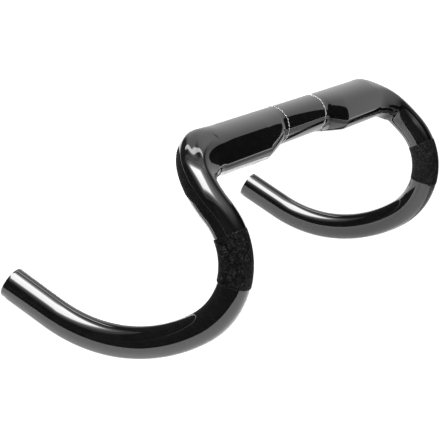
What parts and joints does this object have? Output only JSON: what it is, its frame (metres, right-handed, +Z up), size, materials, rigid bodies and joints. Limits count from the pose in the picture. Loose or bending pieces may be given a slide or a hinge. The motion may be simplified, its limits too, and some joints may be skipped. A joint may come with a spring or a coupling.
{
  "type": "drop handlebar",
  "caption": "Carbon drop handlebar with a round stem clamp zone, broad aero tops and round-bend hooks with anti-slip lever zones.",
  "frame": {"origin": "centre of the round stem clamp zone, on the bar's axis", "axes": "+X towards the rider's right along the clamp axis, +Y forward in the riding direction, +Z up"},
  "size_m": [0.4646, 0.1667, 0.1748],
  "materials": {
    "carbon_gloss": "gloss black clear coat over carbon",
    "clamp_gloss": "gloss black clear coat",
    "grip_grit": "fine anti-slip grit, matte",
    "index_ink": "white printed graduation marks",
    "bond_sleeve": "raw moulded carbon, matte"
  },
  "bodies": {
    "root": {"clamp_section": "clamp_gloss", "wing_right": "carbon_gloss", "wing_left": "carbon_gloss", "sleeve_right": "bond_sleeve", "sleeve_left": "bond_sleeve", "hook_right": "carbon_gloss", "hook_left": "carbon_gloss", "grip_cover_right": "grip_grit", "grip_cover_left": "grip_grit", "index_ring_right": "index_ink", "index_ring_left": "index_ink"}
  },
  "joints": []
}
